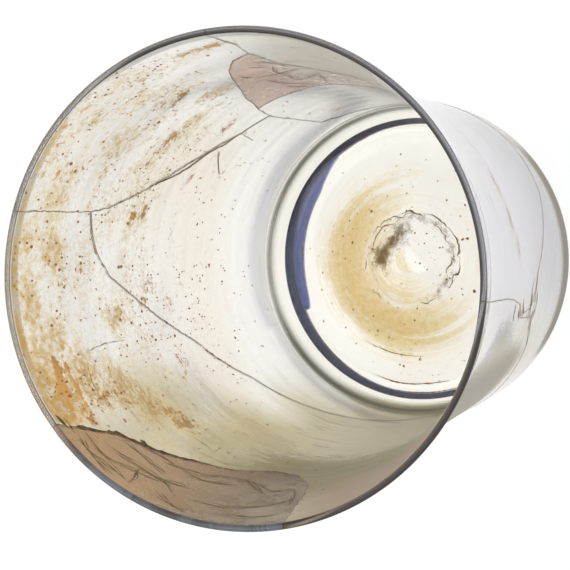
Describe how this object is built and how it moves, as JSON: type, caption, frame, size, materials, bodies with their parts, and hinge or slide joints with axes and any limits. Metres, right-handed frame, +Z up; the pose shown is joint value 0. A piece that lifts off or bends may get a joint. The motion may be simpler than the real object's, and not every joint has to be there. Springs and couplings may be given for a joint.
{
  "type": "glass beaker",
  "caption": "Flared blown glass beaker, mended from sherds with resin fills, with a pushed-up base on a trailed blue glass foot thread.",
  "frame": {"origin": "on the beaker's axis, in the plane that its foot stands on", "axes": "+Z up the axis to the mouth; +Y towards the side where the foot thread laps over its own start"},
  "size_m": [0.12, 0.12, 0.1765],
  "materials": {
    "glass": "clear with a faint olive tint, stained inside",
    "resin": "translucent tinted resin, wrinkled",
    "blue_glass": "deep cobalt, fire polished"
  },
  "bodies": {
    "root": {"base_sherd": "glass", "back_wall_sherd": "glass", "right_wall_sherd": "glass", "left_wall_sherd": "glass", "wall_fill": "resin", "rim_fill": "resin", "foot_thread": "blue_glass"}
  },
  "joints": []
}
